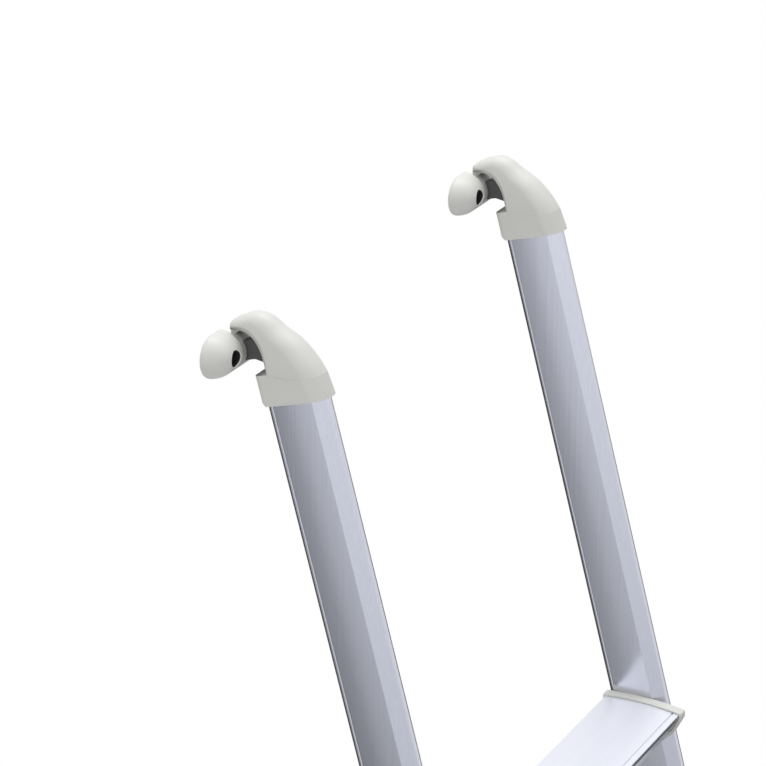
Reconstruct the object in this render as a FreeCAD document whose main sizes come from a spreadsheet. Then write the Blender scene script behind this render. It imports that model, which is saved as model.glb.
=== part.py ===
import FreeCAD, Part
import math
import os
import Sketcher
from FreeCAD import Placement, Rotation, Vector

os.makedirs("parts", exist_ok=True)
doc = FreeCAD.newDocument("ladder")

# Driving dimensions in millimetres and degrees
DIMENSIONS = {
    # stance
    "lean_angle": 15.0,
    "stile_spacing": 450.0,
    "step_rise": 250.0,
    "step_count": 6,
    "collar_height": 2004.0,
    # stile extrusion
    "stile_width": 28.0,
    "stile_depth": 51.8,
    "stile_back": 25.0,
    "stile_bulge": 0.5,
    "stile_wall": 1.8,
    "stile_corner": 3.5,
    "facet_angle": 42.2,
    "nose_radius": 6.0,
    "stile_foot": 24.0,
    "stile_insert": 10.0,
    # top elbow
    "collar_side": 1.5,
    "collar_rear": 4.9,
    "collar_nose": 2.9,
    "collar_taper": 3.5,
    "collar_corner": 6.0,
    "collar_front_rise": 19.8,
    "collar_rear_rise": 26.2,
    "shell_wall": 3.0,
    "socket_gap": 0.15,
    # wall foot
    "wall_rise": 39.2,
    "wall_reach": 45.7,
    "foot_spacing": 49.0,
    "foot_radius": 18.6,
    "foot_depth": 23.3,
    "foot_edge": 3.0,
    "foot_slot": 20.4,
    "web_thick": 4.0,
    "web_rise": 5.0,
    "screw_spacing": 43.0,
    "screw_radius": 3.3,
    "screw_seat": 7.0,
    "screw_seat_floor": 6.0,
    "screw_seat_bevel": 0.6,
    # pivot
    "pivot_depth": 15.6,
    "pin_radius": 4.0,
    "pin_length": 27.0,
    "pin_gap": 0.08,
    "knuckle_radius": 8.0,
    "arm_width": 11.0,
    "cover_width": 18.4,
    "cover_back": 2.0,
    # treads
    "cap_thick": 10.0,
    "cap_recess": 5.0,
    "cap_fit": 0.2,
    "cap_tip": 2.0,
    "tread_wall": 2.0,
    "tread_crown": 265.0,
    # shoes
    "shoe_top": 78.0,
    "shoe_width": 35.0,
    "sole_thick": 6.0,
    "sole_width": 38.0,
    "sole_length": 92.0,
    "sole_corner": 6.0,
    "groove_depth": 2.0,
    "groove_width": 3.0,
    "groove_pitch": 12.0,
}

# Places of the hood's ribs, seen from the side: the points of the open rim and of the crest,
# measured forward from the stile's rear face and up from the collar's lower edge,
# with half the width there, the radius of the crest's edges and the height of the bevelled lip.
HOOD_STATIONS = [
    {"rim": (7.4, 18.0), "crest": (52.0, 18.0), "half": 15.2, "round": 14.6, "lip": 1.0},
    {"rim": (7.4, 24.5), "crest": (49.4, 26.0), "half": 15.1, "round": 14.4, "lip": 1.2},
    {"rim": (7.4, 31.0), "crest": (45.5, 34.3), "half": 14.9, "round": 14.0, "lip": 1.4},
    {"rim": (7.0, 37.2), "crest": (41.0, 42.3), "half": 14.4, "round": 13.5, "lip": 2.0},
    {"rim": (6.3, 43.0), "crest": (35.7, 49.5), "half": 13.9, "round": 13.0, "lip": 2.6},
    {"rim": (3.3, 51.8), "crest": (24.4, 60.8), "half": 12.8, "round": 12.0, "lip": 3.4},
    {"rim": (-0.6, 57.5), "crest": (15.0, 70.8), "half": 11.6, "round": 10.6, "lip": 3.6},
    {"rim": (-7.0, 62.0), "crest": (1.4, 75.5), "half": 10.2, "round": 9.0, "lip": 3.4},
    {"rim": (-14.0, 63.8), "crest": (-10.0, 73.9), "half": 9.0, "round": 7.6, "lip": 3.0},
    {"rim": (-20.3, 65.0), "crest": (-18.3, 71.4), "half": 8.0, "round": 4.4, "lip": 1.8},
]

# The rib at which the hood's inside begins
FLOOR_RIB = 2
# Share of the lip's height by which it slopes in
LIP_SLOPE = 0.33
# How far the inside is cut past the open rim
RIM_REACH = 4.0

# Side views in the same forward and up: what is cut off the collar's lower rear edge and off its
# front top, and the hinge arm's outline past its seat on the floor of the hood's inside.
LOW_EDGE_CUT = [(-6.0, -1.0), (-0.6, -1.0), (-0.6, 0.4), (-3.9, 3.6), (-4.9, 7.0), (-6.0, 7.0)]
LEDGE_START, LEDGE_END = 8.0, 26.0
ARM_SEAT = (9.0, 34.0)
ARM_TOP = [(31.0, 43.0), (21.0, 51.5), (5.0, 54.0), (-18.9, 53.7)]
ARM_UNDER = [(-18.9, 37.7), (-5.0, 37.7)]
ARM_RADII = [0, 0, 5.0, 8.0, 4.0, 0, 0, 4.0]


def make_sheet():
    """Put every driving dimension in the spreadsheet under its own name."""
    sheet = doc.addObject("Spreadsheet::Sheet", "dimensions")
    for row, (name, value) in enumerate(DIMENSIONS.items(), start=1):
        sheet.set(f"A{row}", name)
        sheet.set(f"B{row}", str(value))
        sheet.setAlias(f"B{row}", name)
    doc.recompute()
    return sheet


sheet = make_sheet()


def dim(name):
    """Read one driving dimension."""
    return float(getattr(sheet, name))


LEAN = dim("lean_angle")
HALF_WIDTH = dim("stile_width") / 2
REAR = dim("stile_back")
SIDES = {"left": 0.0, "right": dim("stile_spacing")}
CLEAR = 2.0
STEPS = range(1, int(dim("step_count")) + 1)


def stile_frame(side):
    """Placement of a stile's own frame: X across, Y to the wall, Z up along the stile."""
    return Placement(Vector(SIDES[side], 0, 0), Rotation(Vector(1, 0, 0), -LEAN))


def new_body(label, placement=None):
    body = doc.addObject("PartDesign::Body", label)
    body.Label = label
    body.Placement = placement or Placement()
    return body


def new_sketch(body, role, name, offset=None):
    """Start a sketch on one of the body's own origin planes."""
    sketch = body.newObject("Sketcher::SketchObject", f"{body.Label}_{name}")
    plane = next(f for f in body.Origin.OriginFeatures if f.Role == role)
    sketch.AttachmentSupport = [(plane, "")]
    sketch.MapMode = "FlatFace"
    sketch.AttachmentOffset = offset or Placement()
    return sketch


def draw_loop(sketch, loop):
    """Draw a closed loop of points; a triple of points is an arc through its middle one."""
    first = sketch.GeometryCount
    for start, *middle, end in loop:
        start, end = Vector(*start, 0), Vector(*end, 0)
        if middle:
            edge = Part.Arc(start, Vector(*middle[0], 0), end)
        else:
            edge = Part.LineSegment(start, end)
        sketch.addGeometry(edge, False)
    count = sketch.GeometryCount - first
    for index in range(count):
        join_ends(sketch, first + index, first + (index + 1) % count)
    return first


def join_ends(sketch, before, after):
    """Tie the end of one edge to the start of the next, whichever way round each arc is kept."""
    def ends(index):
        return [(place, sketch.getPoint(index, place)) for place in (1, 2)]

    pairs = [(a[1].distanceToPoint(b[1]), a[0], b[0]) for a in ends(before) for b in ends(after)]
    _, place_before, place_after = min(pairs)
    sketch.addConstraint(Sketcher.Constraint("Coincident", before, place_before, after, place_after))


def polygon(points):
    """Turn corner points into the straight edges of a closed loop."""
    return [(a, b) for a, b in zip(points, points[1:] + points[:1])]


def rounded_polygon(points, radii):
    """Closed loop of straight edges whose corners are arcs of the given radii."""
    loop, cuts = [], []
    count = len(points)
    for i, (corner, radius) in enumerate(zip(points, radii)):
        p = Vector(*corner, 0)
        before = (Vector(*points[i - 1], 0) - p).normalize()
        after = (Vector(*points[(i + 1) % count], 0) - p).normalize()
        half = before.getAngle(after) / 2
        reach = radius / math.tan(half) if radius else 0
        middle = p + (before + after).normalize() * (radius / math.sin(half) - radius) if radius else p
        cuts.append((p + before * reach, middle, p + after * reach, radius))
    for i, (start, middle, end, radius) in enumerate(cuts):
        if radius:
            loop.append(((start.x, start.y), (middle.x, middle.y), (end.x, end.y)))
        following = cuts[(i + 1) % count][0]
        if end.distanceToPoint(following) > 1e-6:
            loop.append(((end.x, end.y), (following.x, following.y)))
    return loop


def bind(sketch, kind, geometry, name):
    """Add a dimension to a sketch and tie it to a cell of the spreadsheet."""
    index = sketch.addConstraint(Sketcher.Constraint(kind, *geometry, dim(name)))
    sketch.setExpression(f"Constraints[{index}]", f"dimensions.{name}")


def new_pad(body, sketch, length, midplane=False, back=False):
    pad = body.newObject("PartDesign::Pad", f"{sketch.Name}_pad")
    pad.Profile = sketch
    pad.setExpression("Length", length)
    pad.Midplane = midplane
    pad.Reversed = back
    sketch.Visibility = False
    doc.recompute()
    return pad


def new_pocket(body, sketch, length, midplane=False, back=False):
    """Cut a sketch out of the body and make sure that something was cut."""
    before = body.Shape.Volume
    pocket = body.newObject("PartDesign::Pocket", f"{sketch.Name}_pocket")
    pocket.Profile = sketch
    pocket.setExpression("Length", length)
    pocket.Midplane = midplane
    pocket.Reversed = back
    sketch.Visibility = False
    doc.recompute()
    if not body.Shape.Volume < before - 1:
        raise ValueError(f"{pocket.Name} cuts nothing")
    return pocket


def new_loft(body, sketches, kind):
    loft = body.newObject(f"PartDesign::{kind}", f"{sketches[0].Name}_loft")
    loft.Profile = sketches[0]
    loft.Sections = sketches[1:]
    loft.Ruled = False
    doc.recompute()
    return loft


def soften(body, kind, size, wanted):
    """Round or bevel the edges of the body so far that the test picks out."""
    edges = body.Tip.Shape.Edges
    names = [f"Edge{number}" for number, edge in enumerate(edges, start=1) if wanted(edge)]
    feature = body.newObject(f"PartDesign::{kind}", f"{body.Label}_{kind}_{len(body.Group)}")
    feature.Base = (body.Group[-2], names)
    feature.setExpression("Radius" if kind == "Fillet" else "Size", size)
    doc.recompute()
    return feature


# Stile section

def bent(corner):
    """How far the middle of a corner's quarter circle lies inside the two sides that it joins."""
    return corner * (1 - math.sqrt(0.5))


def nose_centre():
    return REAR - dim("stile_depth") + dim("nose_radius")


def crease_place(grow):
    """Where a side ends and a front facet begins, on the outline moved outwards by this much."""
    slope = math.radians(dim("facet_angle"))
    half = HALF_WIDTH - dim("stile_bulge") + grow
    radius = dim("nose_radius") + grow
    return nose_centre() + (half * math.sin(slope) - radius) / math.cos(slope)


def stile_loop(grow):
    """The stile's outline, moved outwards by the same amount all round.

    A rounded rear, sides that bulge a little and a nose between two flat facets.
    """
    slope = math.radians(dim("facet_angle"))
    widest = HALF_WIDTH + grow
    half = widest - dim("stile_bulge")
    rear = REAR + grow
    corner = dim("stile_corner") + grow
    radius = dim("nose_radius") + grow
    crease = crease_place(grow)
    touch = (math.sin(slope) * radius, nose_centre() - math.cos(slope) * radius)
    middle = (rear - corner + crease) / 2
    bend = bent(corner)
    return [
        ((-half + corner, rear), (half - corner, rear)),
        ((half - corner, rear), (half - bend, rear - bend), (half, rear - corner)),
        ((half, rear - corner), (widest, middle), (half, crease)),
        ((half, crease), touch),
        (touch, (0.0, nose_centre() - radius), (-touch[0], touch[1])),
        ((-touch[0], touch[1]), (-half, crease)),
        ((-half, crease), (-widest, middle), (-half, rear - corner)),
        ((-half, rear - corner), (-half + bend, rear - bend), (-half + corner, rear)),
    ]


def make_stile(side):
    """One hollow extrusion from inside the shoe to inside the elbow's collar."""
    body = new_body(f"{side}_stile", stile_frame(side))
    start = Placement(Vector(0, 0, dim("stile_foot")), Rotation())
    section = new_sketch(body, "XY_Plane", "section", start)
    draw_loop(section, stile_loop(0))
    draw_loop(section, stile_loop(-dim("stile_wall")))
    new_pad(body, section, "dimensions.collar_height + dimensions.stile_insert - dimensions.stile_foot")
    return body


# Top elbow: a collar over the stile's end and a hollow hood that curves back to the wall

def collar_loop(nose):
    """Rounded rear, straight sides and a half round front that stands out past the stile's nose."""
    half = HALF_WIDTH + dim("collar_side")
    rear = REAR + dim("collar_rear")
    front = REAR - dim("stile_depth") - nose
    corner = dim("collar_corner")
    bend = bent(corner)
    return [
        ((-half + corner, rear), (half - corner, rear)),
        ((half - corner, rear), (half - bend, rear - bend), (half, rear - corner)),
        ((half, rear - corner), (half, front + half)),
        ((half, front + half), (0.0, front), (-half, front + half)),
        ((-half, front + half), (-half, rear - corner)),
        ((-half, rear - corner), (-half + bend, rear - bend), (-half + corner, rear)),
    ]


def in_stile(point):
    """Side-view point, forward from the rear face and up from the collar, to the stile's own Y and Z."""
    forward, up = point
    return REAR - forward, dim("collar_height") + up


def hood_section(body, index, station, inset, reach):
    """One cross-section of the hood, on the plane through its rim point and crest point.

    The inset moves the sides and the crest inwards; the reach runs the section out past the rim.
    """
    rim = Vector(0, *in_stile(station["rim"]))
    crest = Vector(0, *in_stile(station["crest"]))
    along = crest - rim
    turn = math.degrees(math.atan2(along.z, along.y))
    offset = Placement(rim, Rotation(Vector(1, 0, 0), turn))
    sketch = new_sketch(body, "XY_Plane", f"hood_{'inner' if inset else 'outer'}_{index}", offset)
    half = station["half"] - inset
    top = along.Length - inset
    edge = station["round"] - inset
    if inset:
        corners = [(-half, -reach), (half, -reach), (half, top), (-half, top)]
        radii = [0, 0, edge, edge]
    else:
        lip = station["lip"]
        foot = half - LIP_SLOPE * lip
        corners = [(-foot, 0), (foot, 0), (half, lip), (half, top), (-half, top), (-half, lip)]
        radii = [0, 0, 0, edge, edge, 0]
    draw_loop(sketch, rounded_polygon(corners, radii))
    sketch.Visibility = False
    return sketch


def make_elbow(side):
    """Collar, hood and the space inside it, moulded in one piece."""
    body = new_body(f"{side}_top_elbow", stile_frame(side))
    base = Placement(Vector(0, 0, dim("collar_height")), Rotation())
    head = Placement(Vector(0, 0, dim("collar_height") + dim("collar_rear_rise")), Rotation())
    collar = new_sketch(body, "XY_Plane", "collar", base)
    draw_loop(collar, collar_loop(dim("collar_nose")))
    collar_head = new_sketch(body, "XY_Plane", "collar_head", head)
    draw_loop(collar_head, collar_loop(dim("collar_nose") - dim("collar_taper")))
    new_loft(body, [collar, collar_head], "AdditiveLoft")

    trim = new_sketch(body, "YZ_Plane", "trim")
    front, rise = dim("collar_front_rise"), dim("collar_rear_rise")
    past_front, over = dim("stile_depth") + 2 * dim("collar_nose"), rise + 1
    front_cut = [
        (LEDGE_START, over),
        (LEDGE_START, rise),
        (LEDGE_END, front),
        (past_front, front),
        (past_front, over),
    ]
    for cut in (LOW_EDGE_CUT, front_cut):
        draw_loop(trim, polygon([in_stile(point) for point in cut]))
    new_pocket(body, trim, "2 * dimensions.stile_width", midplane=True)

    outer = [hood_section(body, i, s, 0.0, 0.0) for i, s in enumerate(HOOD_STATIONS)]
    new_loft(body, outer, "AdditiveLoft")
    wall = dim("shell_wall")
    hollow = HOOD_STATIONS[FLOOR_RIB:-1]
    inner = [hood_section(body, i, s, wall, RIM_REACH) for i, s in enumerate(hollow, start=FLOOR_RIB)]
    new_loft(body, inner, "SubtractiveLoft")

    socket = new_sketch(body, "XY_Plane", "socket", base)
    draw_loop(socket, stile_loop(dim("socket_gap")))
    new_pocket(body, socket, "dimensions.stile_insert", back=True)
    return body


# Wall foot: half a capsule, flat to the wall, slotted in the middle for the hinge arm

def foot_centre(side):
    """Centre of the foot's flat back, set out level and plumb from the collar's lower rear corner."""
    corner = stile_frame(side).multVec(Vector(0, REAR, dim("collar_height")))
    return corner + Vector(0, dim("wall_reach"), dim("wall_rise"))


def lies_on_back(edge):
    """Tell an edge round the foot's flat back from all others."""
    box = edge.BoundBox
    return abs(box.YMin) < 0.01 and abs(box.YMax) < 0.01


def rims_seat(edge):
    """Tell the mouth of a screw seat, on the foot's round front, from all other edges."""
    box = edge.BoundBox
    offset = abs(abs(box.Center.x) - dim("screw_spacing") / 2)
    in_front = box.YMax < -dim("screw_seat_floor") - 1
    return in_front and offset < dim("screw_seat") and 1 < box.ZLength < 2 * dim("screw_seat") + 0.1


def make_foot(side):
    """The foot in its own frame: back on the plane Y = 0, body towards -Y, centre at the origin."""
    body = new_body(f"{side}_wall_foot", Placement(foot_centre(side), Rotation()))
    radius, depth = dim("foot_radius"), dim("foot_depth")

    bar = new_sketch(body, "YZ_Plane", "bar")
    ellipse = Part.Ellipse(Vector(-depth, 0, 0), Vector(0, radius, 0), Vector(0, 0, 0))
    bar.addGeometry(Part.ArcOfEllipse(ellipse, -math.pi / 2, math.pi / 2), False)
    arc = bar.Geometry[0]
    bar.addGeometry(Part.LineSegment(arc.EndPoint, arc.StartPoint), False)
    new_pad(body, bar, "dimensions.foot_spacing", midplane=True)

    for name, sign, first in (("near", -1, -math.pi / 2), ("far", 1, 0)):
        end = Placement(Vector(sign * dim("foot_spacing") / 2, 0, 0), Rotation())
        dome = new_sketch(body, "XY_Plane", f"dome_{name}", end)
        curve = Part.Ellipse(Vector(0, -depth, 0), Vector(radius, 0, 0), Vector(0, 0, 0))
        dome.addGeometry(Part.ArcOfEllipse(curve, first, first + math.pi / 2), False)
        arc = dome.Geometry[0]
        dome.addGeometry(Part.LineSegment(arc.EndPoint, Vector(0, 0, 0)), False)
        dome.addGeometry(Part.LineSegment(Vector(0, 0, 0), arc.StartPoint), False)
        turn = body.newObject("PartDesign::Revolution", f"{dome.Name}_turn")
        turn.Profile = dome
        turn.ReferenceAxis = (dome, ["V_Axis"])
        turn.Angle = 180
        turn.Midplane = True
        doc.recompute()
    soften(body, "Fillet", "dimensions.foot_edge", lies_on_back)

    slot = new_sketch(body, "YZ_Plane", "slot")
    web, rise = dim("web_thick"), dim("web_rise")
    draw_loop(slot, polygon([
        (-depth - CLEAR, -radius - CLEAR),
        (-web, -radius - CLEAR),
        (-web, rise),
        (CLEAR, rise),
        (CLEAR, radius + CLEAR),
        (-depth - CLEAR, radius + CLEAR),
    ]))
    new_pocket(body, slot, "dimensions.foot_slot", midplane=True)

    holes = new_sketch(body, "XZ_Plane", "screw_holes")
    seat_floor = Placement(Vector(0, 0, dim("screw_seat_floor")), Rotation())
    seats = new_sketch(body, "XZ_Plane", "screw_seats", seat_floor)
    for sketch, name in ((holes, "screw_radius"), (seats, "screw_seat")):
        for sign in (-1, 1):
            centre = Vector(sign * dim("screw_spacing") / 2, 0, 0)
            sketch.addGeometry(Part.Circle(centre, Vector(0, 0, 1), dim(name)), False)
        bind(sketch, "Radius", (0,), name)
        sketch.addConstraint(Sketcher.Constraint("Equal", 0, 1))
    for sketch in (holes, seats):
        new_pocket(body, sketch, "dimensions.foot_depth", back=True)
    soften(body, "Chamfer", "dimensions.screw_seat_bevel", rims_seat)

    bore = new_sketch(body, "YZ_Plane", "pin_bore")
    pivot = Vector(-dim("pivot_depth"), 0, 0)
    bore.addGeometry(Part.Circle(pivot, Vector(0, 0, 1), dim("pin_radius")), False)
    bind(bore, "Radius", (0,), "pin_radius")
    new_pocket(body, bore, "dimensions.pin_length", midplane=True)
    return body


def pivot_point(side):
    return foot_centre(side) - Vector(0, dim("pivot_depth"), 0)


def make_pin(side):
    """Pivot pin across the foot's slot."""
    pin = doc.addObject("Part::Cylinder", f"{side}_pivot_pin")
    pin.Label = f"{side}_pivot_pin"
    pin.setExpression("Radius", "dimensions.pin_radius")
    pin.setExpression("Height", "dimensions.pin_length")
    start = pivot_point(side) - Vector(dim("pin_length") / 2, 0, 0)
    pin.Placement = Placement(start, Rotation(Vector(0, 0, 1), Vector(1, 0, 0)))
    return pin


def hood_floor(forward):
    """Point on the floor of the hood's inside, which is the plane of the rib where it begins."""
    floor = HOOD_STATIONS[FLOOR_RIB]
    (rim_forward, rim_up), (crest_forward, crest_up) = floor["rim"], floor["crest"]
    share = (forward - rim_forward) / (crest_forward - rim_forward)
    return (forward, rim_up + share * (crest_up - rim_up))


def arm_points():
    """Corners of the hinge arm's outline from its seat over the top to the knuckle and back."""
    return [hood_floor(forward) for forward in ARM_SEAT] + ARM_TOP + ARM_UNDER


def in_foot(side, point):
    """Side-view point, forward from the stile's rear face and up from the collar, to the foot's Y and Z."""
    place = stile_frame(side).multVec(Vector(0, *in_stile(point))) - foot_centre(side)
    return (place.y, place.z)


def make_hinge_arm(side):
    """Black arm fixed inside the hood, with a knuckle that turns on the pivot pin."""
    body = new_body(f"{side}_hinge_arm", stile_frame(side))
    pivot = stile_frame(side).inverse().multVec(pivot_point(side))
    radius = dim("knuckle_radius")

    knuckle = new_sketch(body, "YZ_Plane", "knuckle")
    knuckle.addGeometry(Part.Circle(Vector(pivot.y, pivot.z, 0), Vector(0, 0, 1), radius), False)
    bind(knuckle, "Radius", (0,), "knuckle_radius")
    new_pad(body, knuckle, "dimensions.arm_width", midplane=True)

    # the arm stands on the floor of the hood's inside and reaches out through the open mouth
    arm = new_sketch(body, "YZ_Plane", "arm")
    outline = [in_stile(point) for point in arm_points()]
    draw_loop(arm, rounded_polygon(outline, ARM_RADII))
    new_pad(body, arm, "dimensions.arm_width", midplane=True)

    bore = new_sketch(body, "YZ_Plane", "bore")
    hole = Part.Circle(Vector(pivot.y, pivot.z, 0), Vector(0, 0, 1), dim("pin_radius") + dim("pin_gap"))
    bore.addGeometry(hole, False)
    new_pocket(body, bore, "2 * dimensions.arm_width", midplane=True)
    return body


def make_knuckle_cover(side):
    """Cover on the arm's end that carries the foot's round front across its slot.

    Drawn in the foot's own frame: the front of the foot's own outline, cut off flat behind the pin,
    with a tunnel for the arm and its knuckle and an open bore for the pin.
    """
    body = new_body(f"{side}_knuckle_cover", Placement(foot_centre(side), Rotation()))
    radius, depth = dim("foot_radius"), dim("foot_depth")
    back = dim("pivot_depth") - dim("cover_back")
    end = math.acos(back / depth)
    front = new_sketch(body, "YZ_Plane", "front")
    ellipse = Part.Ellipse(Vector(-depth, 0, 0), Vector(0, radius, 0), Vector(0, 0, 0))
    front.addGeometry(Part.ArcOfEllipse(ellipse, -end, end), False)
    arc = front.Geometry[0]
    front.addGeometry(Part.LineSegment(arc.EndPoint, arc.StartPoint), False)
    new_pad(body, front, "dimensions.cover_width", midplane=True)

    tunnel = new_sketch(body, "YZ_Plane", "tunnel")
    outline = [in_foot(side, point) for point in arm_points()]
    draw_loop(tunnel, rounded_polygon(outline, ARM_RADII))
    new_pocket(body, tunnel, "dimensions.arm_width", midplane=True)

    pivot = Vector(-dim("pivot_depth"), 0, 0)
    room = new_sketch(body, "YZ_Plane", "knuckle_room")
    room.addGeometry(Part.Circle(pivot, Vector(0, 0, 1), dim("knuckle_radius")), False)
    bind(room, "Radius", (0,), "knuckle_radius")
    new_pocket(body, room, "dimensions.arm_width", midplane=True)

    bore = new_sketch(body, "YZ_Plane", "bore")
    bore.addGeometry(Part.Circle(pivot, Vector(0, 0, 1), dim("pin_radius") + dim("pin_gap")), False)
    new_pocket(body, bore, "2 * dimensions.cover_width", midplane=True)
    return body


# Treads and their end caps, seen from the side: forward from the crown and down from it

CROWN_REACH = 15.8
TREAD_REAR, TREAD_FRONT = -27.0, 47.0
# front lip, knee and floor of the tread, and its rear lip
TREAD_UNDER = [(47.0, 8.2), (39.5, 23.5), (26.0, 37.0), (-5.0, 37.0), (-27.0, 5.4)]
NOSING = 5.0
NOSING_GROOVE = 1.6
NOSING_GROOVE_DEPTH = 0.9
CAP_RIM = 2.4
CAP_RISE = 1.5


def crown_drop(forward):
    """How far the curved top lies below its crown."""
    radius = dim("tread_crown")
    return radius - math.sqrt(radius ** 2 - forward ** 2)


def tread_frame(step):
    """Placement of a step's frame: X across, Y to the wall, Z up, crown of the top at the origin."""
    height = dim("step_rise") * step
    lean = math.radians(LEAN)
    crease_y = (height * math.sin(lean) + crease_place(0)) / math.cos(lean)
    return Placement(Vector(0, crease_y + CROWN_REACH, height), Rotation())


def grown(points, grow):
    """Corners of a polygon moved so that each of its sides shifts outwards by the same amount."""
    corners = [Vector(*point, 0) for point in points]
    moved = []
    for i, corner in enumerate(corners):
        before = (corner - corners[i - 1]).normalize()
        after = (corners[(i + 1) % len(corners)] - corner).normalize()
        normals = Vector(before.y + after.y, -before.x - after.x, 0)
        moved.append(corner + normals * (grow / (1 + before.dot(after))))
    return [(corner.x, corner.y) for corner in moved]


def tread_loop(grow, rise):
    """Closed loop of the tread's section, its sides moved outwards and its curved top upwards."""
    tops = [(forward, crown_drop(forward)) for forward in (TREAD_REAR, TREAD_FRONT)]
    corners = grown([(-forward, -down) for forward, down in tops + TREAD_UNDER], grow)
    for i, (forward, down) in enumerate(tops):
        corners[i] = (corners[i][0], rise - down)
    arch = (corners[0], (0.0, rise), corners[1])
    return [arch] + polygon(corners)[1:]


def make_tread(step):
    """One hollow extrusion between the two end caps, with a groove behind the nosing."""
    body = new_body(f"tread_{step}", tread_frame(step))
    start = Placement(Vector(0, 0, HALF_WIDTH + dim("cap_thick") - dim("cap_recess")), Rotation())
    section = new_sketch(body, "YZ_Plane", "section", start)
    wall = dim("tread_wall")
    draw_loop(section, tread_loop(0, 0))
    draw_loop(section, tread_loop(-wall, -wall))
    caps = "2 * (dimensions.cap_thick - dimensions.cap_recess)"
    length = f"dimensions.stile_spacing - dimensions.stile_width - {caps}"
    new_pad(body, section, length)

    groove = new_sketch(body, "YZ_Plane", "groove", start)
    near = TREAD_FRONT - NOSING
    far = near - NOSING_GROOVE
    floor = -crown_drop(near) - NOSING_GROOVE_DEPTH
    draw_loop(groove, polygon([(-near, floor), (-far, floor), (-far, CLEAR), (-near, CLEAR)]))
    new_pocket(body, groove, length, back=True)
    return body


def crosses_tip(edge):
    """Tell the edges across a cap's front tip, above and below its lip, from all others."""
    box = edge.BoundBox
    across = abs(box.XLength - dim("cap_thick")) < 0.01 and box.YLength < 0.01
    return across and box.YMin < -TREAD_FRONT - CAP_RIM + 0.01


def make_cap(side, step):
    """Moulded end cap between a stile's inner face and the end of a tread."""
    body = new_body(f"{side}_cap_{step}", tread_frame(step))
    start = HALF_WIDTH
    if side == "right":
        start = dim("stile_spacing") - HALF_WIDTH - dim("cap_thick")
    plate = new_sketch(body, "YZ_Plane", "plate", Placement(Vector(0, 0, start), Rotation()))
    draw_loop(plate, tread_loop(CAP_RIM, CAP_RISE))
    new_pad(body, plate, "dimensions.cap_thick")
    soften(body, "Fillet", "dimensions.cap_tip", crosses_tip)

    into = start if side == "right" else start + dim("cap_thick") - dim("cap_recess")
    recess = new_sketch(body, "YZ_Plane", "recess", Placement(Vector(0, 0, into), Rotation()))
    draw_loop(recess, tread_loop(dim("cap_fit"), dim("cap_fit")))
    new_pocket(body, recess, "dimensions.cap_recess", back=True)
    return body


# Shoes at the lower ends, seen from the side: reach to the wall side and height over the floor
SHOE_FRONT, SHOE_REAR = -44.0, 42.0
SHOE_TOE, SHOE_HEEL = 14.0, 12.0
SHOE_RIM = 4.0
SHOE_SHOULDER_FRONT, SHOE_SHOULDER_REAR = 46.0, 34.0
SHOE_RADII = [0, 5.0, 18.0, 2.0, 2.0, 12.0, 5.0, 0]


def on_lean(forward, along):
    """Side-view point beside the leaning stile: forward from its rear face and along it."""
    point = stile_frame("left").multVec(Vector(0, REAR - forward, along))
    return (point.y, point.z)


def make_shoe(side):
    """Moulded shoe: a socket round the stile's end over a foot that is flat on the floor."""
    body = new_body(f"{side}_shoe", Placement(Vector(SIDES[side], 0, 0), Rotation()))
    floor, top = dim("sole_thick"), dim("shoe_top")
    front = dim("stile_depth") + SHOE_RIM
    corners = [
        (SHOE_FRONT, floor),
        (SHOE_FRONT, floor + SHOE_TOE),
        on_lean(front, SHOE_SHOULDER_FRONT),
        on_lean(front, top),
        on_lean(-SHOE_RIM, top),
        on_lean(-SHOE_RIM, SHOE_SHOULDER_REAR),
        (SHOE_REAR, floor + SHOE_HEEL),
        (SHOE_REAR, floor),
    ]
    profile = new_sketch(body, "YZ_Plane", "profile")
    draw_loop(profile, rounded_polygon(corners, SHOE_RADII))
    new_pad(body, profile, "dimensions.shoe_width", midplane=True)

    seat = Placement(Vector(0, *on_lean(REAR, dim("stile_foot"))), Rotation(Vector(1, 0, 0), -LEAN))
    socket = new_sketch(body, "XY_Plane", "socket", seat)
    draw_loop(socket, stile_loop(dim("socket_gap")))
    new_pocket(body, socket, "dimensions.shoe_top", back=True)
    return body


def make_sole(side):
    """Rubber sole with grooves across it."""
    body = new_body(f"{side}_sole", Placement(Vector(SIDES[side], 0, 0), Rotation()))
    plate = new_sketch(body, "XY_Plane", "plate")
    half_x, half_y = dim("sole_width") / 2, dim("sole_length") / 2
    corners = [(-half_x, -half_y), (half_x, -half_y), (half_x, half_y), (-half_x, half_y)]
    draw_loop(plate, rounded_polygon(corners, [dim("sole_corner")] * 4))
    new_pad(body, plate, "dimensions.sole_thick")
    pitch, half_groove = dim("groove_pitch"), dim("groove_width") / 2
    grooves = new_sketch(body, "YZ_Plane", "grooves")
    for place in (-2.5, -1.5, 1.5, 2.5):
        near, far = place * pitch - half_groove, place * pitch + half_groove
        roof = dim("groove_depth")
        draw_loop(grooves, polygon([(near, -CLEAR), (far, -CLEAR), (far, roof), (near, roof)]))
    new_pocket(body, grooves, "2 * dimensions.sole_width", midplane=True)
    return body


def build_all():
    parts = []
    for side in SIDES:
        parts += [
            make_stile(side),
            make_elbow(side),
            make_foot(side),
            make_pin(side),
            make_hinge_arm(side),
            make_knuckle_cover(side),
            make_shoe(side),
            make_sole(side),
        ]
    for step in STEPS:
        parts.append(make_tread(step))
        parts += [make_cap(side, step) for side in SIDES]
    return parts


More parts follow.
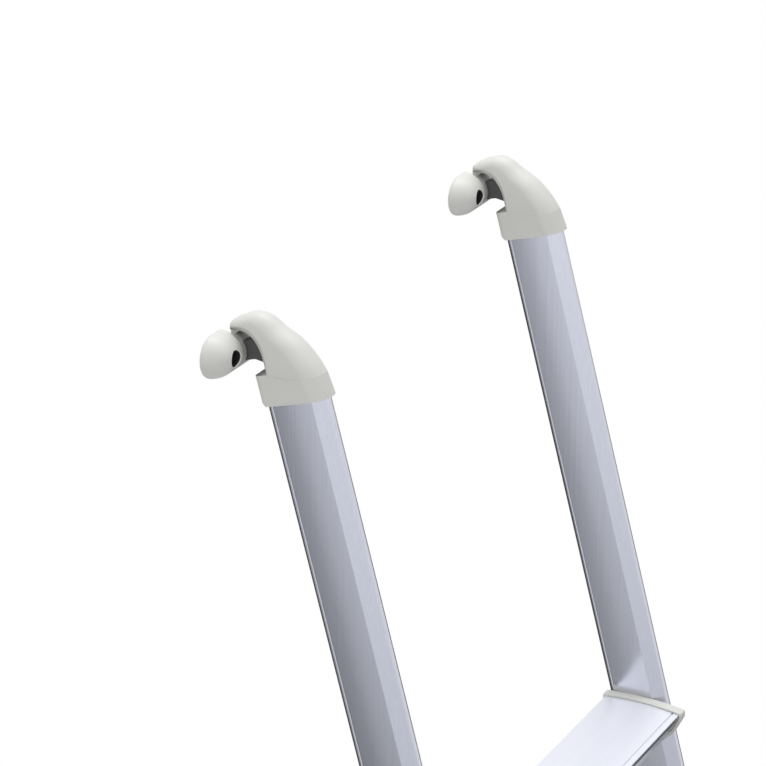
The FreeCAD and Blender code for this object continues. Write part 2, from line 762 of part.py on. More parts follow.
def check_and_write(parts):
    """Stop on any failed feature or bad solid, then write one file for each sub-part."""
    doc.recompute()
    bad = [o.Name for o in doc.Objects if {"Invalid", "Error"} & set(o.State)]
    if bad:
        raise ValueError(f"failed features: {bad}")
    for part in parts:
        shape = part.Shape
        if shape.isNull() or not shape.isValid() or len(shape.Solids) != 1:
            raise ValueError(f"{part.Label} isn't one good solid")
        shape.exportStep(f"parts/{part.Label}.step")
        print(part.Label, round(shape.Volume), "mm3")


check_and_write(build_all())
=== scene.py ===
import math

import bpy
import numpy as np
from mathutils import Matrix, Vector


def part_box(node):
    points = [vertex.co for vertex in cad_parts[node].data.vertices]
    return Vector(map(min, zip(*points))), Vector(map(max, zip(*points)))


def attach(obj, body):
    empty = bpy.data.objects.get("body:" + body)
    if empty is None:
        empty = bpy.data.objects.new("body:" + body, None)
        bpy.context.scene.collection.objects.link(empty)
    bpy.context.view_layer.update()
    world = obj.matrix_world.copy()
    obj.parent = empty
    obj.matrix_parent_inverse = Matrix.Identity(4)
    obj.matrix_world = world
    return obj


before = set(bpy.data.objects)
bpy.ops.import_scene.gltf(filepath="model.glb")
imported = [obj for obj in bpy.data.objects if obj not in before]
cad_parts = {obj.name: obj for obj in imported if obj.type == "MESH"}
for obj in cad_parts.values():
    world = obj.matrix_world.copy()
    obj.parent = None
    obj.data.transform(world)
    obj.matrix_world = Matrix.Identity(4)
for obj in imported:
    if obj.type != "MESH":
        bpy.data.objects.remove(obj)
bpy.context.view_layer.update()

# The ladder's own measures, in metres and radians
LEAN = math.radians(15.0)
STILE_SPACING = 0.450
STILE_HALF = 0.0137
STEP_RISE = 0.250
STEPS = 6
SIDES = {"left": 0.0, "right": STILE_SPACING}
# the wall foot: distance between the round ends' centres, their radius, the depth off the wall
# and the height of its middle over the floor
FOOT_SPACING = 0.049
FOOT_RADIUS = 0.0186
FOOT_DEPTH = 0.0233
FOOT_HEIGHT = 1.9684
# the two sunk screw seats of a foot: their spacing, radius and the floor's reach off the wall
SEAT_SPACING = 0.043
SEAT_RADIUS = 0.0070
SEAT_FLOOR = 0.006
# the black sleeve in a seat, which stands for the shade deep in the seat (painted shade): its gap, its
# radii and how far its end stays inside the mouth
SHADE_TUBE_GAP = 0.00005
SHADE_TUBE_OUTER = SEAT_RADIUS - SHADE_TUBE_GAP
SHADE_TUBE_INNER = SEAT_RADIUS - 0.0009
SHADE_TUBE_SUNK = 0.0008
# the hood's open rim in the stile's own frame: centre to the wall and along, half width and half
# height, and the power of its corner
RIM_CENTRE = (0.047, 2.033)
RIM_HALF = (0.0294, 0.0355)
RIM_POWER = 2.6

# Screw heads: radius, height and depth of the cross recess, in metres
FOOT_SCREW = (0.0051, 0.0030, 0.0016)
STILE_SCREW = (0.0048, 0.0021, 0.0014)
# a tread's two stile screws: how far under its crown, and to either side of the stile's middle
STILE_SCREW_DROP = 0.017
STILE_SCREW_REACH = 0.010
# shares of a head's radius: reach and half width of the recess's arms, and the straight side; the
# ring that closes the under side is a share of that side's radius
ARM_REACH, ARM_HALF = 0.55, 0.115
SKIRT_RADIUS, UNDER_RADIUS = 1.03, 0.02
# how far the dome falls to its edge, as a share of its height, and the straight side's height as
# a share of that edge's
DOME_FALL = 0.32
SKIRT_HEIGHT = 0.62
# the recess's wall in shares of the arm's size: where it starts outside, and its width
RECESS_START, RECESS_WALL = 1.12, 0.24
# edges sharper than this stay sharp
SHARP_ANGLE = math.radians(40.0)

# Where finishes change, as start and end, in metres unless the comment says otherwise
# the painted highlight on the bevel around a seat's mouth, by distance from the seat's middle
SEAT_HIGHLIGHT = (0.0071, 0.0083)
# the foot's front gives way to its back, on the way to the wall
FOOT_BACK = (0.5750, 0.5770)
# the pale top of a tread (painted light) gives way to the darker front (painted shade), by depth under
# its crown
NOSING_DROP = (0.0044, 0.0050)
# share of the rise by which the count of that depth starts above the crown
NOSING_MARGIN = 0.02
# the stile's side turns over to the rear, on the way to the wall, and how far it falls there
REAR_TURN = (0.0195, 0.0250)
REAR_FALL = 0.006
# the lip's width at the rim's foot and at its top, in shares of the rim's size, and its fall
LIP_WIDTH = (0.035, 0.115)
LIP_FALL = 0.0011
# the lip runs out just above the collar, in shares of the rim's half height
LIP_END = (-0.16, 0.05)
# the seam between hood and collar, where the painted shade of the gaps stays faint: share of the unshaded
# tone that it keeps, and where it ends
SEAM_SHARE = 0.9
SEAM_END = (0.020, 0.030)
# how near another surface must lie for the painted shade in a gap
GAP_REACH = 0.030

# Camera of the photograph: its place, its ways to the right and ahead, and its lens in millimetres
CAMERA_PLACE = (-2.2526, -0.6985, 2.9736)
CAMERA_RIGHT = (0.45388, -0.89106, 0.00276)
VIEW = np.array([0.82773, 0.42047, -0.37157])
LENS, SENSOR = 162.47, 36.0
CLIP_NEAR, CLIP_FAR = 0.05, 100.0
# the point between the elbows around which the reflection cards stand
MIDDLE = np.array([0.22, 0.45, 1.85])

# Tones and glow of the surroundings; the room's glow is given below and above
WHITE = (1.0, 1.0, 1.0)
ROOM_TINT = (0.96, 0.97, 1.0)
ROOM_GLOW = (0.08, 0.92)
CARD_TINT = (0.93, 0.95, 1.0)
CARD_POINTS = 41
FLOOR_TONE = (0.72, 0.72, 0.73)
FLOOR_GLOW = 0.62
FLOOR_REACH = 1.6


# Nodes

class Nodes:
    """A node tree, with short calls for the nodes that the looks use."""

    def __init__(self, tree):
        self.tree = tree

    def feed(self, value, socket):
        """Set a socket to a number, vector or colour, or link it to another node's output."""
        if isinstance(value, bpy.types.NodeSocket):
            self.tree.links.new(value, socket)
        elif socket.type == "RGBA":
            socket.default_value = (*value, 1)
        else:
            socket.default_value = value

    def add(self, kind, **inputs):
        """New node with some of its inputs, where an underscore stands for a space in a name."""
        node = self.tree.nodes.new("ShaderNode" + kind)
        for name, value in inputs.items():
            self.feed(value, node.inputs[name.replace("_", " ")])
        return node

    def calc(self, operation, *terms):
        """One step of arithmetic on numbers and other nodes' outputs."""
        node = self.add("Math")
        node.operation = operation
        for term, socket in zip(terms, node.inputs):
            self.feed(term, socket)
        return node.outputs[0]

    def span(self, value, low, high, start=0.0, end=1.0):
        """From low to high while the value runs from start to end, and level on both sides."""
        node = self.add("MapRange", Value=value, From_Min=start, From_Max=end, To_Min=low, To_Max=high)
        return node.outputs["Result"]

    def split(self, vector):
        """The X, Y and Z of a vector."""
        return self.add("SeparateXYZ", Vector=vector).outputs

    def mix(self, share, first, second):
        """From the first to the second with the share; each is a colour or another node's output."""
        node = self.add("Mix")
        node.data_type = "RGBA"
        for name, value in (("Factor", share), ("A", first), ("B", second)):
            self.feed(value, node.inputs[name])
        return node.outputs["Result"]

    def shown_directly(self):
        """1 for rays from the camera, in mirrors and through clear things, and 0 for light rays."""
        rays = self.add("LightPath").outputs
        seen = self.calc("MAXIMUM", rays["Is Camera Ray"], rays["Is Glossy Ray"])
        return self.calc("MAXIMUM", seen, rays["Is Transmission Ray"])


def bare_nodes(block):
    """The emptied node tree of a material or a world."""
    block.use_nodes = True
    block.node_tree.nodes.clear()
    return Nodes(block.node_tree)


# Camera, floor and light

def unit(vector):
    """A vector at length one."""
    vector = np.array(vector, float)
    return vector / np.linalg.norm(vector)


def add_object(name, data):
    """New object of the scene, at the origin."""
    made = bpy.data.objects.new(name, data)
    bpy.context.scene.collection.objects.link(made)
    return made


def place_camera():
    """Long lens on the upper ends of the stiles, from the left and a little above them."""
    camera = add_object("camera", bpy.data.cameras.new("camera"))
    forward = unit(VIEW)
    up = unit(np.cross(CAMERA_RIGHT, forward))
    turn = np.stack([np.cross(forward, up), up, -forward], axis=1)
    camera.matrix_world = Matrix.Translation(CAMERA_PLACE) @ Matrix(turn.tolist()).to_4x4()
    camera.data.lens = LENS
    camera.data.sensor_width = SENSOR
    camera.data.clip_start, camera.data.clip_end = CLIP_NEAR, CLIP_FAR
    bpy.context.scene.camera = camera


def add_lamp(name, place, aim, size, power):
    """Soft square lamp at a place, turned to shine on a point."""
    lamp = add_object(name, bpy.data.lights.new(name, "AREA"))
    lamp.data.shape = "SQUARE"
    lamp.data.size = size
    lamp.data.energy = power
    back = unit(np.subtract(place, aim))
    side = unit(np.cross([0.0, 0.0, 1.0], back))
    turn = np.stack([side, np.cross(back, side), back], axis=1)
    lamp.location = place
    lamp.rotation_mode = "QUATERNION"
    lamp.rotation_quaternion = Matrix(turn.tolist()).to_quaternion()


def light_room():
    """Pale room, lighter above than below, that shows white behind the ladder, and four lamps."""
    world = bpy.data.worlds.new("room")
    bpy.context.scene.world = world
    made = bare_nodes(world)
    height = made.split(made.add("TexCoord").outputs["Generated"])["Z"]
    soft = made.add("Background", Color=ROOM_TINT, Strength=made.span(height, *ROOM_GLOW, -1.0, 1.0))
    white = made.add("Background", Color=WHITE, Strength=1.0)
    shown = made.add("MixShader", Fac=made.shown_directly())
    made.feed(soft.outputs[0], shown.inputs[1])
    made.feed(white.outputs[0], shown.inputs[2])
    made.add("OutputWorld", Surface=shown.outputs[0])
    add_lamp("top_lamp", place=(0.9, 0.7, 4.8), aim=(0.2, 0.45, 1.7), size=1.6, power=44)
    add_lamp("front_lamp", place=(-0.6, -3.4, 3.2), aim=(0.2, 0.4, 1.6), size=2.0, power=6)
    add_lamp("side_lamp", place=(-3.5, -0.6, 2.2), aim=(0.2, 0.4, 1.6), size=2.6, power=21)
    add_lamp("wall_lamp", place=(-2.2, 2.6, 3.2), aim=(0.2, 0.4, 1.8), size=2.2, power=12)


def reflected_card(name, direction, width, height, distance, glow):
    """Studio card that shows in reflections alone, with a glow that changes over it.

    A flat grid square to the direction in which it is seen from the ladder's upper end: the middle
    plus the distance times (direction + across + up). The glow is a function of across and up.
    """
    ahead = unit(direction)
    across = unit(np.cross([0.0, 0.0, 1.0], ahead))
    up = np.cross(ahead, across)
    u, v = np.meshgrid(np.linspace(*width, CARD_POINTS), np.linspace(*height, CARD_POINTS), indexing="ij")
    points = MIDDLE + distance * (ahead + u[..., None] * across + v[..., None] * up)
    card = grid_piece(name, points[None])
    level = card.data.attributes.new("glow", "FLOAT", "POINT")
    level.data.foreach_set("value", glow(u, v).astype(np.float32).ravel())
    material = bpy.data.materials.new(name)
    made = bare_nodes(material)
    read = made.add("Attribute")
    read.attribute_name = "glow"
    light = made.add("Emission", Color=CARD_TINT, Strength=read.outputs["Fac"])
    made.add("OutputMaterial", Surface=light.outputs[0])
    card.data.materials.append(material)
    card.visible_camera = False
    card.visible_diffuse = False
    card.visible_transmission = False
    card.visible_shadow = False


def side_glow(u, v):
    """Rises towards the front and upwards, and is darkest low down towards the wall."""
    return np.clip(0.56 + 2.5 * u, 0.10, 1.05) * np.clip(1.1 + 3.6 * v, 0.45, 1.25)


def front_glow(u, v):
    """Even across and in the upper part, and darker below."""
    return np.clip(1.06 + 1.5 * v, 0.6, 1.06)


def rear_glow(u, v):
    """Dark in the middle, and pale past either side and above."""
    beside = np.clip((np.abs(u) - 1.0) / 0.6, 0.0, 1.0)
    above = np.clip((v - 0.05) / 0.17, 0.0, 1.0)
    return 0.08 + 0.85 * np.maximum(beside, above)


def tread_glow(u, v):
    """Nearly even, a little brighter upwards and to one side."""
    return np.clip(0.92 + 0.6 * v - 0.2 * u, 0.78, 1.02)


def place_cards():
    """Grey flags and bright panels that the aluminium and the edges of the mouldings mirror."""
    # the way the camera's rays leave a side that faces the left; across runs towards the front
    reflected_card("side_flag", VIEW * (-1, 1, 1), width=(-0.32, 0.24), height=(-0.7, 0.5),
                   distance=6.0, glow=side_glow)
    # the way they leave a facet that faces the front and the left; across runs towards the right
    reflected_card("front_panel", (-0.413, -0.904, -0.02), width=(-0.5, 0.5), height=(-0.7, 0.4),
                   distance=6.0, glow=front_glow)
    # behind the ladder, where edges that turn away and the fronts of the treads mirror it
    reflected_card("rear_flag", VIEW, width=(-1.6, 1.6), height=(-0.9, 0.42),
                   distance=6.0, glow=rear_glow)
    # the way they leave a flat top
    reflected_card("tread_panel", VIEW * (1, 1, -1), width=(-0.6, 0.5), height=(-0.25, 0.6),
                   distance=9.0, glow=tread_glow)


def lay_floor():
    """Large pale sheet under the soles that catches the ladder's shadow and shows white."""
    ends = (-FLOOR_REACH, FLOOR_REACH)
    x, y = np.meshgrid(ends, ends, indexing="ij")
    floor = grid_piece("floor", np.stack([x, y, np.zeros_like(x)], axis=-1)[None])
    material = bpy.data.materials.new("pale_floor")
    made = bare_nodes(material)
    matt = made.add("BsdfDiffuse", Color=FLOOR_TONE)
    level = made.calc("MULTIPLY", made.shown_directly(), FLOOR_GLOW)
    glow = made.add("Emission", Color=WHITE, Strength=level)
    both = made.add("AddShader")
    made.feed(matt.outputs[0], both.inputs[0])
    made.feed(glow.outputs[0], both.inputs[1])
    made.add("OutputMaterial", Surface=both.outputs[0])
    floor.data.materials.append(material)


# Surfaces

def grid_piece(name, grids, closed=(False, False)):
    """Piece at the origin from one or more equal grids of points, stacked in one array.

    Neighbouring rows and columns of a grid span four-sided faces, and a closed way joins its last
    row or column to its first.
    """
    copies, rows, columns = grids.shape[:3]
    index = np.arange(rows * columns).reshape(rows, columns)
    index = np.pad(index, [(0, int(way)) for way in closed], mode="wrap")
    corners = [index[:-1, :-1], index[1:, :-1], index[1:, 1:], index[:-1, 1:]]
    quads = np.stack(corners, axis=-1).reshape(-1, 4)
    quads = (quads + rows * columns * np.arange(copies)[:, None, None]).reshape(-1, 4)
    mesh = bpy.data.meshes.new(name)
    mesh.vertices.add(copies * rows * columns)
    mesh.vertices.foreach_set("co", grids.astype(np.float32).ravel())
    mesh.loops.add(quads.size)
    mesh.loops.foreach_set("vertex_index", quads.astype(np.int32).ravel())
    mesh.polygons.add(len(quads))
    mesh.polygons.foreach_set("loop_start", np.arange(0, quads.size, 4, dtype=np.int32))
    mesh.update(calc_edges=True)
    mesh.validate()
    return add_object(name, mesh)


def smooth(piece):
    """Smooth shading between the sharp edges."""
    piece.data.polygons.foreach_set("use_smooth", np.ones(len(piece.data.polygons), dtype=bool))
    piece.data.set_sharp_from_angle(angle=SHARP_ANGLE)


def lean_to_world(points, side):
    """Points across, towards the wall and along a stile, turned by the lean and moved to that stile."""
    x, y, z = points[..., 0], points[..., 1], points[..., 2]
    turned_y = y * math.cos(LEAN) + z * math.sin(LEAN)
    turned_z = -y * math.sin(LEAN) + z * math.cos(LEAN)
    return np.stack([x + SIDES[side], turned_y, turned_z], axis=-1)


# Finishes

class Finish(Nodes):
    """A material under construction, from the place on the object to the shader."""

    def __init__(self, name):
        self.material = bpy.data.materials.new(name)
        self.material.use_nodes = True
        super().__init__(self.material.node_tree)
        self.shader = next(n for n in self.tree.nodes if n.type == "BSDF_PRINCIPLED")
        self.place = self.add("TexCoord").outputs["Object"]

    def mapped(self, turn=(0, 0, 0), scale=(1, 1, 1)):
        """The place, turned and scaled."""
        return self.add("Mapping", Vector=self.place, Rotation=turn, Scale=scale).outputs[0]

    def stile_place(self):
        """The place across, towards the wall and along a stile, as X, Y and Z."""
        return self.split(self.mapped((LEAN, 0, 0)))

    def noise(self, vector, scale, detail=2.0, rough=0.5):
        """Cloudy pattern between 0 and 1."""
        node = self.add("TexNoise", Vector=vector, Scale=scale, Detail=detail, Roughness=rough)
        return node.outputs["Fac"]

    def bump(self, height, strength, distance, under=None):
        """Relief of a height, over another relief where one is given."""
        node = self.add("Bump", Strength=strength, Distance=distance, Height=height)
        if under:
            self.feed(under, node.inputs["Normal"])
        self.feed(node.outputs[0], self.shader.inputs["Normal"])
        return node.outputs[0]

    def unshaded_share(self, low, high):
        """Share left free of painted shade: from 0 deep in a gap to 1 on an open surface, by how much
        lies close in front of it.
        """
        node = self.add("AmbientOcclusion", Distance=GAP_REACH)
        node.samples = 12
        return self.span(node.outputs["AO"], 0.0, 1.0, low, high)

    def coat(self, skin, dull, metal=0.0):
        """Give the shader its colour, its roughness and its share of metal."""
        self.feed(skin, self.shader.inputs["Base Color"])
        self.feed(dull, self.shader.inputs["Roughness"])
        self.feed(metal, self.shader.inputs["Metallic"])


def under_nosing(made):
    """Mask of the painted shade and the smoother finish on a tread: 0 on its curved top, 1 on the front
    lip and the slopes below it.

    The depth under the step's crown, as a share of the step's rise, is what is left of the height
    over the rise, counted downwards.
    """
    height = made.split(made.place)["Z"]
    below = made.calc("FRACT", made.calc("MULTIPLY_ADD", height, -1.0 / STEP_RISE, NOSING_MARGIN))
    start, end = (NOSING_MARGIN + drop / STEP_RISE for drop in NOSING_DROP)
    return made.span(below, 0.0, 1.0, start, end)


def rear_turn(made):
    """Relief of a stile's side, which turns over softly to its rear.

    The height falls with the square of the way from the start of the turn to its end.
    """
    way = made.span(made.stile_place()["Y"], 0.0, 1.0, *REAR_TURN)
    height = made.calc("SUBTRACT", 1.0, made.calc("MULTIPLY", way, way))
    return made.bump(height, 1.0, REAR_FALL)


def anodised_stile():
    """Satin anodised extrusion: long faint die lines along its length and a cool silver grey."""
    made = Finish("anodised_stile")
    lines = made.noise(made.mapped((LEAN, 0, 0), (700, 700, 1.6)), 1.0, 3.0, 0.6)
    cloud = made.noise(made.place, 6.0, 2.0)
    skin = made.mix(made.span(lines, 0.0, 1.0, 0.3, 0.7), (0.59, 0.60, 0.66), (0.63, 0.64, 0.70))
    made.coat(skin, made.span(cloud, 0.18, 0.23), metal=0.97)
    made.bump(lines, 0.05, 0.0003, rear_turn(made))
    return made.material


def anodised_tread():
    """The same extrusion's finish on a tread, painted paler on its top for the light on it (painted
    light) and darker on its smoother slopes for the shade under the nosing (painted shade).
    """
    made = Finish("anodised_tread")
    lines = made.noise(made.mapped(scale=(1.6, 700, 700)), 1.0, 3.0, 0.6)
    cloud = made.noise(made.place, 6.0, 2.0)
    # painted light: the top is much paler than the stile's same anodised tone, for the light that falls
    # on it
    top = made.mix(made.span(lines, 0.0, 1.0, 0.3, 0.7), (0.80, 0.81, 0.86), (0.84, 0.85, 0.90))
    slope = under_nosing(made)
    # painted shade: the front lip and the slopes below it are darker, for the shade under the nosing
    skin = made.mix(made.span(slope, 1.0, 0.0), (0.34, 0.345, 0.37), top)
    dull = made.calc("MULTIPLY", made.span(cloud, 0.38, 0.43), made.span(slope, 1.0, 0.45))
    made.coat(skin, dull, metal=0.60)
    made.bump(lines, 0.05, 0.0003)
    return made.material


def moulded_grey(name, shelter=(0.36, 0.80), lipped=False, highlit_seats=False):
    """Moulded pale grey plastic: very fine grain, a slight change of tone, and painted shade that makes
    it darker deep in the gaps.

    A lipped moulding has the bevel along the hood's rim and only faint painted shade at the seam with the
    collar, and a moulding with highlit seats has a painted highlight on the bevels around the screw
    seats.
    """
    made = Finish(name)
    grain = made.noise(made.place, 1400.0, 2.0)
    tone = made.noise(made.place, 18.0, 3.0)
    skin = made.mix(made.span(tone, 0.0, 1.0, 0.3, 0.7), (0.65, 0.65, 0.605), (0.68, 0.68, 0.635))
    # painted shade: the share of the plastic's own tone, which falls away deep in the gaps
    unshaded = made.unshaded_share(*shelter)
    if lipped:
        # the painted shade is kept faint along the seam with the collar
        seam = made.span(made.stile_place()["Y"], SEAM_SHARE, 0.0, *SEAM_END)
        unshaded = made.calc("MAXIMUM", unshaded, seam)
    if highlit_seats:
        # painted highlight: the bevel around each seat's mouth is paler, as where it catches the light
        skin = made.mix(seat_highlight(made), (0.84, 0.84, 0.79), skin)
    # painted shade: near black deep in the gaps, the plastic's own tone in the open
    made.coat(made.mix(unshaded, (0.03, 0.03, 0.03), skin), made.span(tone, 0.42, 0.50))
    lip = made.bump(hood_lip(made), 1.0, LIP_FALL) if lipped else None
    made.bump(grain, 0.08, 0.0001, lip)
    return made.material


def seat_highlight(made):
    """0 on the painted highlight on the bevel around each screw seat of a wall foot and 1 elsewhere.

    The distance from the nearest seat's middle is the root of the squared height over the foot's
    middle and the squared difference of the distance from the foot's middle and half the spacing.
    The foot's flat back has no bevel.
    """
    x, y, z = made.split(made.place)
    from_middle = made.calc("ABSOLUTE", made.calc("SUBTRACT", x, STILE_SPACING / 2))
    from_foot = made.calc("ABSOLUTE", made.calc("SUBTRACT", from_middle, STILE_SPACING / 2))
    across = made.calc("SUBTRACT", from_foot, SEAT_SPACING / 2)
    height = made.calc("SUBTRACT", z, FOOT_HEIGHT)
    squares = [made.calc("MULTIPLY", length, length) for length in (across, height)]
    far = made.calc("SQRT", made.calc("ADD", *squares))
    front = made.span(far, 0.0, 1.0, *SEAT_HIGHLIGHT)
    return made.calc("MAXIMUM", front, made.span(y, 0.0, 1.0, *FOOT_BACK))


def hood_lip(made):
    """Height over the bevelled lip, from 0 at the hood's open rim to 1 where the bevel ends.

    Seen from the side the rim is a rounded corner, on which the shares of the half width and of
    the half height from its centre, each raised to the rim's power, add up to one. The root of
    that sum, less one, is how far a point lies outside the rim, over the lip's own width there.
    The lip runs out just above the collar.
    """
    stile = made.stile_place()
    across = made.calc("DIVIDE", made.calc("SUBTRACT", RIM_CENTRE[0], stile["Y"]), RIM_HALF[0])
    along = made.calc("DIVIDE", made.calc("SUBTRACT", stile["Z"], RIM_CENTRE[1]), RIM_HALF[1])
    shares = [made.calc("MAXIMUM", share, 0.0) for share in (across, along)]
    powers = [made.calc("POWER", share, RIM_POWER) for share in shares]
    root = made.calc("POWER", made.calc("ADD", *powers), 1.0 / RIM_POWER)
    width = made.calc("MULTIPLY_ADD", shares[1], LIP_WIDTH[1] - LIP_WIDTH[0], LIP_WIDTH[0])
    rise = made.span(made.calc("DIVIDE", made.calc("SUBTRACT", root, 1.0), width), 0.0, 1.0)
    return made.calc("MAXIMUM", rise, made.span(along, 1.0, 0.0, *LIP_END))


def seat_shade_black():
    """Near black of the seat sleeves, which stands for the shade deep in the screw seats (painted shade),
    with a dull, slightly mottled skin.
    """
    made = Finish("seat_shade_black")
    grain = made.noise(made.place, 900.0, 3.0)
    made.coat(made.mix(grain, (0.010, 0.010, 0.011), (0.022, 0.022, 0.023)), made.span(grain, 0.45, 0.6))
    made.bump(grain, 0.15, 0.0001)
    return made.material


def painted_arm_shade():
    """Dark grey of the arm inside the hood, which stands for the hood's shade on it (painted shade),
    darker still deep in the gaps (painted shade); dull and finely grained.
    """
    made = Finish("painted_arm_shade")
    grain = made.noise(made.place, 900.0, 3.0)
    # painted shade: the arm is coloured dark grey for the hood's shade that falls on it
    skin = made.mix(grain, (0.085, 0.085, 0.083), (0.12, 0.12, 0.117))
    # painted shade: near black deep in the gaps
    skin = made.mix(made.unshaded_share(0.3, 0.8), (0.01, 0.01, 0.01), skin)
    made.coat(skin, made.span(grain, 0.5, 0.62))
    made.bump(grain, 0.12, 0.0001)
    return made.material


def black_rubber():
    """Black rubber with a fine dusty tooth."""
    made = Finish("black_rubber")
    grain = made.noise(made.place, 600.0, 4.0, 0.65)
    made.coat(made.mix(grain, (0.018, 0.018, 0.018), (0.045, 0.045, 0.043)), made.span(grain, 0.7, 0.9))
    made.bump(grain, 0.25, 0.0002)
    return made.material


def blackened_steel():
    """Dark steel of the wall screws, dull with a faint mottle."""
    made = Finish("blackened_steel")
    mottle = made.noise(made.place, 700.0, 3.0)
    skin = made.mix(mottle, (0.10, 0.10, 0.105), (0.16, 0.16, 0.165))
    made.coat(skin, made.span(mottle, 0.30, 0.42), metal=1.0)
    made.bump(mottle, 0.06, 0.0001)
    return made.material


def turned_steel():
    """Bright zinc steel with faint turning marks across its length."""
    made = Finish("turned_steel")
    marks = made.noise(made.mapped(scale=(2600, 120, 120)), 1.0, 2.0)
    skin = made.mix(marks, (0.42, 0.43, 0.45), (0.56, 0.57, 0.59))
    made.coat(skin, made.span(marks, 0.22, 0.34), metal=1.0)
    made.bump(marks, 0.06, 0.0001)
    return made.material


def paint_nodes():
    """Give every solid of the frame its own finish."""
    finishes = {
        "stile": anodised_stile(),
        "tread": anodised_tread(),
        "grey": moulded_grey("moulded_grey", shelter=(0.05, 0.60)),
        "hood": moulded_grey("moulded_hood", lipped=True),
        "foot": moulded_grey("moulded_foot", shelter=(0.05, 0.52), highlit_seats=True),
        "dark_steel": blackened_steel(),
        # near black that stands for the shade deep in the screw seats (painted shade)
        "black": seat_shade_black(),
        # the hinge arm's dark grey stands for the hood's shade on it (painted shade)
        "shaded": painted_arm_shade(),
        "rubber": black_rubber(),
        "steel": turned_steel(),
    }
    kinds = (("_stile", "stile"), ("tread_", "tread"), ("_hinge_arm", "shaded"), ("_pivot_pin", "steel"),
             ("_sole", "rubber"), ("_cap_", "grey"), ("_top_elbow", "hood"), ("_wall_foot", "foot"),
             ("_knuckle_cover", "foot"), ("_shoe", "grey"))
    for name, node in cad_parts.items():
        finish = next(kind for part, kind in kinds if part in name)
        for slot in node.material_slots:
            slot.material = finishes[finish]
    return finishes


# Screws and ferrules

def foot_seats(side):
    """Ways of a wall foot's screw seats beside its middle, and where the seats meet the wall."""
    low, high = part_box(f"{side}_wall_foot")
    ways = (-SEAT_SPACING / 2, SEAT_SPACING / 2)
    return ways, np.array([(SIDES[side] + way, high[1], (low[2] + high[2]) / 2) for way in ways])


def foot_front(x, z):
    """How far the wall foot's round front stands off the wall.

    The reach falls from the full depth with the square root of one minus the squared share of
    the radius; the share counts only the height between the end centres and both ways past them.
    """
    past = np.maximum(np.abs(x) - FOOT_SPACING / 2, 0.0)
    return FOOT_DEPTH * np.sqrt(1.0 - (past ** 2 + z ** 2) / FOOT_RADIUS ** 2)


def shade_tube(way):
    """Tube of painted shade in a seat that lies a way beside the foot's middle, on a grid of section and
    angle.

    Its wall runs up from the seat's floor, turns over at the mouth, which follows the foot's round
    front, and comes down again on the inner radius.
    """
    angle = np.linspace(0, 2 * math.pi, 64, endpoint=False)
    across, up = np.cos(angle), np.sin(angle)
    mouth = foot_front(way + SEAT_RADIUS * across, SEAT_RADIUS * up) - SHADE_TUBE_SUNK
    floor = np.full_like(mouth, SEAT_FLOOR + SHADE_TUBE_GAP)
    outside = [(SHADE_TUBE_OUTER, floor), (SHADE_TUBE_OUTER, mouth)]
    inside = [(SHADE_TUBE_INNER, mouth), (SHADE_TUBE_INNER, floor)]
    return np.array([np.stack([radius * across, -reach, radius * up], axis=-1)
                     for radius, reach in outside + inside])


def add_seat_shade_sleeves(finishes):
    """Black sleeve in each sunk seat, from the seat's floor up to just inside its bevelled mouth, that
    stands for the shade deep in the seat (painted shade).
    """
    for side in SIDES:
        ways, seats = foot_seats(side)
        tubes = np.array([seat + shade_tube(way) for way, seat in zip(ways, seats)])
        sleeves = grid_piece(f"{side}_seat_shade_sleeves", tubes, closed=(True, True))
        smooth(sleeves)
        sleeves.data.materials.append(finishes["black"])
        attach(sleeves, f"{side}_foot")


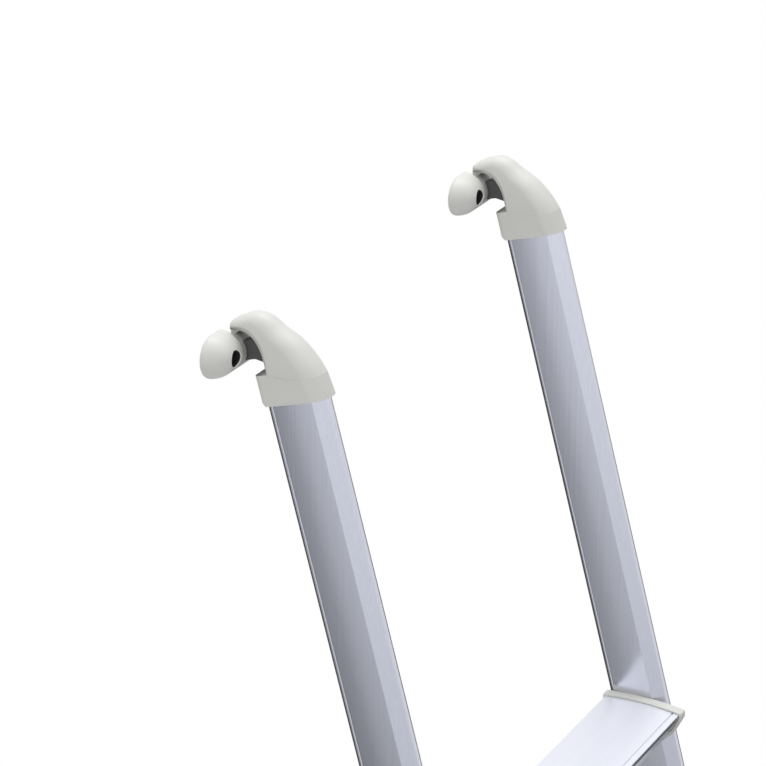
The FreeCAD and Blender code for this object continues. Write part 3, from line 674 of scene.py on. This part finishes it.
def screw_head(radius, height, recess):
    """Pan head seen from above, as height over the seat against radius and angle.

    The outline rises up a short straight side and bends over in a flat dome, whose height falls
    with the square of the radius. The cross recess lowers it where the point lies close to one of
    the two arms and inside their reach, by a smooth step, down to the recess's depth.
    """
    # rings of the dome in shares of its radius, closer where the recess is
    share = np.concatenate([np.linspace(0.0, 0.62, 22), np.linspace(0.66, 1.0, 9)])
    angle = np.linspace(0, 2 * math.pi, 48, endpoint=False)
    r, a = np.meshgrid(share, angle, indexing="ij")
    x, y = r * np.cos(a), r * np.sin(a)
    dome = height * (1.0 - DOME_FALL * r ** 2)
    first_arm = np.maximum(np.abs(x) / ARM_REACH, np.abs(y) / ARM_HALF)
    second_arm = np.maximum(np.abs(y) / ARM_REACH, np.abs(x) / ARM_HALF)
    step = np.clip((RECESS_START - np.minimum(first_arm, second_arm)) / RECESS_WALL, 0, 1)
    step = step * step * (3 - 2 * step)
    top = np.stack([x * radius, y * radius, dome - recess * step], axis=-1)
    skirt = top[-1:] * (SKIRT_RADIUS, SKIRT_RADIUS, SKIRT_HEIGHT)
    foot = skirt * (1, 1, 0)
    under = foot * UNDER_RADIUS
    return np.concatenate([top, skirt, foot, under], axis=0)


def screw_row(name, seats, screw, turn):
    """One mesh of equal screw heads, each turned to stand on its seat."""
    head = screw_head(*screw) @ np.array(turn, float).T
    piece = grid_piece(name, np.array(seats)[:, None, None] + head, closed=(False, True))
    smooth(piece)
    return piece


def add_foot_screws(finishes):
    """Two screws in the sunk seats of each wall foot, heads away from the wall."""
    away_from_wall = [[1, 0, 0], [0, 0, -1], [0, 1, 0]]
    for side in SIDES:
        ways, seats = foot_seats(side)
        seats -= (0.0, SEAT_FLOOR, 0.0)
        screws = screw_row(f"{side}_foot_screws", seats, FOOT_SCREW, away_from_wall)
        screws.data.materials.append(finishes["dark_steel"])
        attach(screws, f"{side}_foot")


def add_stile_screws(finishes):
    """Two screws at each tread through the stile's outer side into the tread's end cap."""
    for side, outwards in (("left", -1.0), ("right", 1.0)):
        seats = []
        for step in range(1, STEPS + 1):
            along = (STEP_RISE * step - STILE_SCREW_DROP) / math.cos(LEAN)
            for reach in (-STILE_SCREW_REACH, STILE_SCREW_REACH):
                seats.append(lean_to_world(np.array([outwards * STILE_HALF, reach, along]), side))
        away_from_stile = [[0, 0, outwards], [0, 1, 0], [-outwards, 0, 0]]
        screws = screw_row(f"{side}_stile_screws", seats, STILE_SCREW, away_from_stile)
        screws.data.materials.append(finishes["steel"])
        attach(screws, "ladder")


place_camera()
light_room()
place_cards()
lay_floor()
finishes = paint_nodes()
add_seat_shade_sleeves(finishes)
add_foot_screws(finishes)
add_stile_screws(finishes)

scene = bpy.context.scene
scene.view_settings.view_transform = "Standard"
